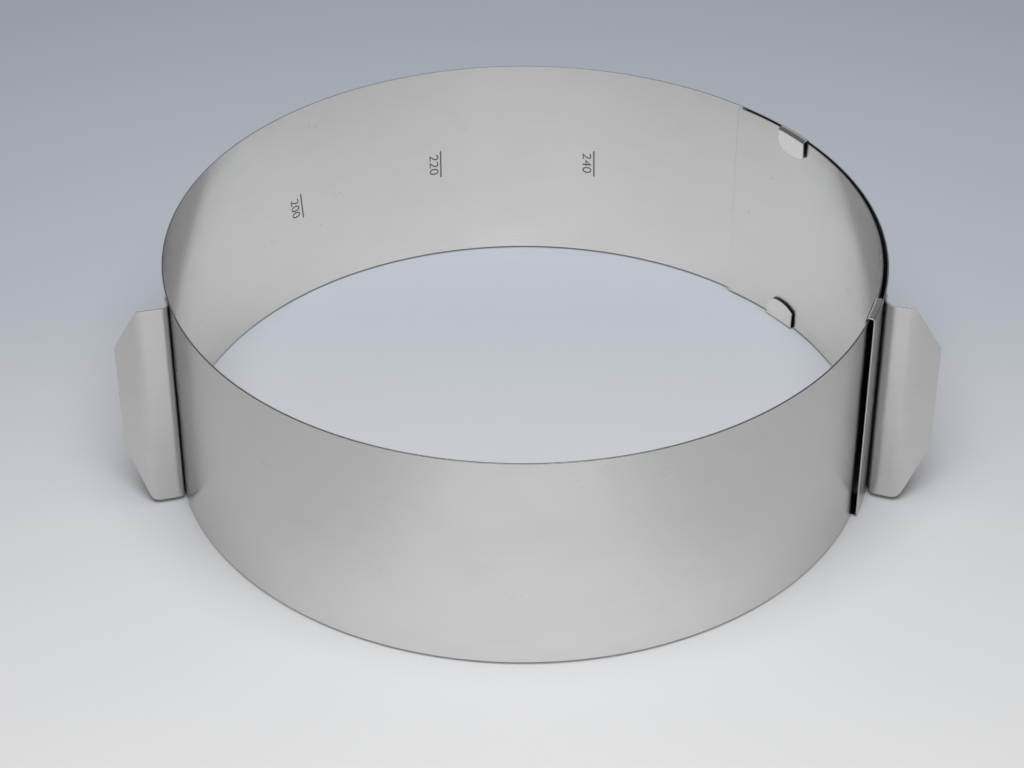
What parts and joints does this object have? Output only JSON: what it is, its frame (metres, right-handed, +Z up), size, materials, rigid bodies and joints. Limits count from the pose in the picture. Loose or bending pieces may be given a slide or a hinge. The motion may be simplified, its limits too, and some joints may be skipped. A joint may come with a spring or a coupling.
{
  "type": "adjustable cake ring",
  "caption": "Adjustable cake ring: a thin steel strip coiled into a ring that overlaps itself, guided by folded hooks and tabs, with bent wings as grips.",
  "frame": {"origin": "centre of the ring, on the surface that it stands on", "axes": "+Z up along the ring's axis, +X towards the right wing, -Y towards the front of the picture"},
  "size_m": [0.2918, 0.2581, 0.0868],
  "materials": {
    "strip_steel": "satin stainless sheet, fine grain along the strip",
    "wing_steel": "satin stainless sheet"
  },
  "bodies": {
    "strip_00": {"strip_link_00": "strip_steel", "right_wing": "wing_steel"},
    "strip_01": {"strip_link_01": "strip_steel"},
    "strip_02": {"strip_link_02": "strip_steel"},
    "strip_03": {"strip_link_03": "strip_steel"},
    "strip_04": {"strip_link_04": "strip_steel"},
    "strip_05": {"strip_link_05": "strip_steel"},
    "strip_06": {"strip_link_06": "strip_steel"},
    "strip_07": {"strip_link_07": "strip_steel"},
    "strip_08": {"strip_link_08": "strip_steel"},
    "strip_09": {"strip_link_09": "strip_steel"},
    "strip_10": {"strip_link_10": "strip_steel"},
    "strip_11": {"strip_link_11": "strip_steel"},
    "strip_12": {"strip_link_12": "strip_steel"},
    "strip_13": {"strip_link_13": "strip_steel"},
    "strip_14": {"strip_link_14": "strip_steel"},
    "strip_15": {"strip_link_15": "strip_steel"},
    "strip_16": {"strip_link_16": "strip_steel"},
    "strip_17": {"strip_link_17": "strip_steel", "left_wing": "wing_steel"},
    "strip_18": {"strip_link_18": "strip_steel"},
    "strip_19": {"strip_link_19": "strip_steel"},
    "strip_20": {"strip_link_20": "strip_steel"},
    "strip_21": {"strip_link_21": "strip_steel"},
    "strip_22": {"strip_link_22": "strip_steel"},
    "strip_23": {"strip_link_23": "strip_steel"},
    "strip_24": {"strip_link_24": "strip_steel"},
    "strip_25": {"strip_link_25": "strip_steel"},
    "strip_26": {"strip_link_26": "strip_steel"},
    "strip_27": {"strip_link_27": "strip_steel"},
    "strip_28": {"strip_link_28": "strip_steel"},
    "strip_29": {"strip_link_29": "strip_steel"},
    "strip_30": {"strip_link_30": "strip_steel"},
    "strip_31": {"strip_link_31": "strip_steel"},
    "strip_32": {"strip_link_32": "strip_steel"},
    "strip_33": {"strip_link_33": "strip_steel"}
  },
  "joints": [
    {"name": "size_adjust", "type": "hinge", "parent": "strip_17", "child": "strip_18", "pos_m": [-0.11621, -0.05523, 0.0434], "axis": [0, 0, 1], "range_deg": [-1.71, 3.86]},
    {"name": "strip_flex_01", "type": "hinge", "parent": "strip_01", "child": "strip_00", "pos_m": [0.12817, -0.02128, 0.0434], "axis": [0, 0, 1], "range_deg": [-3.77, 1.68]},
    {"name": "strip_flex_02", "type": "hinge", "parent": "strip_02", "child": "strip_01", "pos_m": [0.12966, 0.00714, 0.0434], "axis": [0, 0, 1], "range_deg": [-3.78, 1.68]},
    {"name": "strip_flex_03", "type": "hinge", "parent": "strip_03", "child": "strip_02", "pos_m": [0.12491, 0.03521, 0.0434], "axis": [0, 0, 1], "range_deg": [-3.78, 1.68]},
    {"name": "strip_flex_04", "type": "hinge", "parent": "strip_04", "child": "strip_03", "pos_m": [0.11416, 0.06156, 0.0434], "axis": [0, 0, 1], "range_deg": [-3.79, 1.68]},
    {"name": "strip_flex_05", "type": "hinge", "parent": "strip_05", "child": "strip_04", "pos_m": [0.09792, 0.08494, 0.0434], "axis": [0, 0, 1], "range_deg": [-3.79, 1.69]},
    {"name": "strip_flex_06", "type": "hinge", "parent": "strip_06", "child": "strip_05", "pos_m": [0.07698, 0.10421, 0.0434], "axis": [0, 0, 1], "range_deg": [-3.8, 1.69]},
    {"name": "strip_flex_07", "type": "hinge", "parent": "strip_07", "child": "strip_06", "pos_m": [0.05233, 0.11844, 0.0434], "axis": [0, 0, 1], "range_deg": [-3.8, 1.69]},
    {"name": "strip_flex_08", "type": "hinge", "parent": "strip_08", "child": "strip_07", "pos_m": [0.02516, 0.12694, 0.0434], "axis": [0, 0, 1], "range_deg": [-3.81, 1.69]},
    {"name": "strip_flex_09", "type": "hinge", "parent": "strip_09", "child": "strip_08", "pos_m": [-0.0032, 0.1293, 0.0434], "axis": [0, 0, 1], "range_deg": [-3.81, 1.69]},
    {"name": "strip_flex_10", "type": "hinge", "parent": "strip_10", "child": "strip_09", "pos_m": [-0.03139, 0.12539, 0.0434], "axis": [0, 0, 1], "range_deg": [-3.82, 1.7]},
    {"name": "strip_flex_11", "type": "hinge", "parent": "strip_11", "child": "strip_10", "pos_m": [-0.05805, 0.11541, 0.0434], "axis": [0, 0, 1], "range_deg": [-3.82, 1.7]},
    {"name": "strip_flex_12", "type": "hinge", "parent": "strip_12", "child": "strip_11", "pos_m": [-0.08187, 0.09984, 0.0434], "axis": [0, 0, 1], "range_deg": [-3.83, 1.7]},
    {"name": "strip_flex_13", "type": "hinge", "parent": "strip_13", "child": "strip_12", "pos_m": [-0.1017, 0.07942, 0.0434], "axis": [0, 0, 1], "range_deg": [-3.83, 1.7]},
    {"name": "strip_flex_14", "type": "hinge", "parent": "strip_14", "child": "strip_13", "pos_m": [-0.11658, 0.05515, 0.0434], "axis": [0, 0, 1], "range_deg": [-3.84, 1.71]},
    {"name": "strip_flex_15", "type": "hinge", "parent": "strip_15", "child": "strip_14", "pos_m": [-0.12576, 0.02822, 0.0434], "axis": [0, 0, 1], "range_deg": [-3.84, 1.71]},
    {"name": "strip_flex_16", "type": "hinge", "parent": "strip_16", "child": "strip_15", "pos_m": [-0.12882, -0.00008, 0.0434], "axis": [0, 0, 1], "range_deg": [-3.85, 1.71]},
    {"name": "strip_flex_17", "type": "hinge", "parent": "strip_17", "child": "strip_16", "pos_m": [-0.12558, -0.02836, 0.0434], "axis": [0, 0, 1], "range_deg": [-3.85, 1.71]},
    {"name": "strip_flex_19", "type": "hinge", "parent": "strip_18", "child": "strip_19", "pos_m": [-0.10116, -0.07939, 0.0434], "axis": [0, 0, 1], "range_deg": [-1.72, 3.86]},
    {"name": "strip_flex_20", "type": "hinge", "parent": "strip_19", "child": "strip_20", "pos_m": [-0.08117, -0.09964, 0.0434], "axis": [0, 0, 1], "range_deg": [-1.72, 3.87]},
    {"name": "strip_flex_21", "type": "hinge", "parent": "strip_20", "child": "strip_21", "pos_m": [-0.05721, -0.115, 0.0434], "axis": [0, 0, 1], "range_deg": [-1.72, 3.87]},
    {"name": "strip_flex_22", "type": "hinge", "parent": "strip_21", "child": "strip_22", "pos_m": [-0.03046, -0.12471, 0.0434], "axis": [0, 0, 1], "range_deg": [-1.72, 3.88]},
    {"name": "strip_flex_23", "type": "hinge", "parent": "strip_22", "child": "strip_23", "pos_m": [-0.00222, -0.12828, 0.0434], "axis": [0, 0, 1], "range_deg": [-1.73, 3.88]},
    {"name": "strip_flex_24", "type": "hinge", "parent": "strip_23", "child": "strip_24", "pos_m": [0.02611, -0.12554, 0.0434], "axis": [0, 0, 1], "range_deg": [-1.73, 3.89]},
    {"name": "strip_flex_25", "type": "hinge", "parent": "strip_24", "child": "strip_25", "pos_m": [0.05313, -0.11662, 0.0434], "axis": [0, 0, 1], "range_deg": [-1.73, 3.89]},
    {"name": "strip_flex_26", "type": "hinge", "parent": "strip_25", "child": "strip_26", "pos_m": [0.07752, -0.10195, 0.0434], "axis": [0, 0, 1], "range_deg": [-1.73, 3.9]},
    {"name": "strip_flex_27", "type": "hinge", "parent": "strip_26", "child": "strip_27", "pos_m": [0.09807, -0.08226, 0.0434], "axis": [0, 0, 1], "range_deg": [-1.73, 3.9]},
    {"name": "strip_flex_28", "type": "hinge", "parent": "strip_27", "child": "strip_28", "pos_m": [0.11376, -0.05852, 0.0434], "axis": [0, 0, 1], "range_deg": [-1.74, 3.91]},
    {"name": "strip_flex_29", "type": "hinge", "parent": "strip_28", "child": "strip_29", "pos_m": [0.12385, -0.03191, 0.0434], "axis": [0, 0, 1], "range_deg": [-1.74, 3.91]},
    {"name": "strip_flex_30", "type": "hinge", "parent": "strip_29", "child": "strip_30", "pos_m": [0.12797, -0.00375, 0.0434], "axis": [0, 0, 1], "range_deg": [-1.74, 3.92]},
    {"name": "strip_flex_31", "type": "hinge", "parent": "strip_30", "child": "strip_31", "pos_m": [0.12585, 0.02461, 0.0434], "axis": [0, 0, 1], "range_deg": [-1.74, 3.92]},
    {"name": "strip_flex_32", "type": "hinge", "parent": "strip_31", "child": "strip_32", "pos_m": [0.1175, 0.0518, 0.0434], "axis": [0, 0, 1], "range_deg": [-1.75, 3.93]},
    {"name": "strip_flex_33", "type": "hinge", "parent": "strip_32", "child": "strip_33", "pos_m": [0.10322, 0.07647, 0.0434], "axis": [0, 0, 1], "range_deg": [-1.75, 3.93]}
  ],
  "couplings": [
    {"joint": "strip_flex_01", "follows": "size_adjust", "ratio": -0.97782},
    {"joint": "strip_flex_02", "follows": "size_adjust", "ratio": -0.97912},
    {"joint": "strip_flex_03", "follows": "size_adjust", "ratio": -0.98043},
    {"joint": "strip_flex_04", "follows": "size_adjust", "ratio": -0.98173},
    {"joint": "strip_flex_05", "follows": "size_adjust", "ratio": -0.98304},
    {"joint": "strip_flex_06", "follows": "size_adjust", "ratio": -0.98434},
    {"joint": "strip_flex_07", "follows": "size_adjust", "ratio": -0.98565},
    {"joint": "strip_flex_08", "follows": "size_adjust", "ratio": -0.98695},
    {"joint": "strip_flex_09", "follows": "size_adjust", "ratio": -0.98826},
    {"joint": "strip_flex_10", "follows": "size_adjust", "ratio": -0.98956},
    {"joint": "strip_flex_11", "follows": "size_adjust", "ratio": -0.99087},
    {"joint": "strip_flex_12", "follows": "size_adjust", "ratio": -0.99217},
    {"joint": "strip_flex_13", "follows": "size_adjust", "ratio": -0.99348},
    {"joint": "strip_flex_14", "follows": "size_adjust", "ratio": -0.99478},
    {"joint": "strip_flex_15", "follows": "size_adjust", "ratio": -0.99609},
    {"joint": "strip_flex_16", "follows": "size_adjust", "ratio": -0.99739},
    {"joint": "strip_flex_17", "follows": "size_adjust", "ratio": -0.9987},
    {"joint": "strip_flex_19", "follows": "size_adjust", "ratio": 1.0013},
    {"joint": "strip_flex_20", "follows": "size_adjust", "ratio": 1.0026},
    {"joint": "strip_flex_21", "follows": "size_adjust", "ratio": 1.0039},
    {"joint": "strip_flex_22", "follows": "size_adjust", "ratio": 1.0052},
    {"joint": "strip_flex_23", "follows": "size_adjust", "ratio": 1.0065},
    {"joint": "strip_flex_24", "follows": "size_adjust", "ratio": 1.0078},
    {"joint": "strip_flex_25", "follows": "size_adjust", "ratio": 1.0091},
    {"joint": "strip_flex_26", "follows": "size_adjust", "ratio": 1.0104},
    {"joint": "strip_flex_27", "follows": "size_adjust", "ratio": 1.0117},
    {"joint": "strip_flex_28", "follows": "size_adjust", "ratio": 1.013},
    {"joint": "strip_flex_29", "follows": "size_adjust", "ratio": 1.0144},
    {"joint": "strip_flex_30", "follows": "size_adjust", "ratio": 1.0157},
    {"joint": "strip_flex_31", "follows": "size_adjust", "ratio": 1.017},
    {"joint": "strip_flex_32", "follows": "size_adjust", "ratio": 1.0183},
    {"joint": "strip_flex_33", "follows": "size_adjust", "ratio": 1.0196}
  ]
}
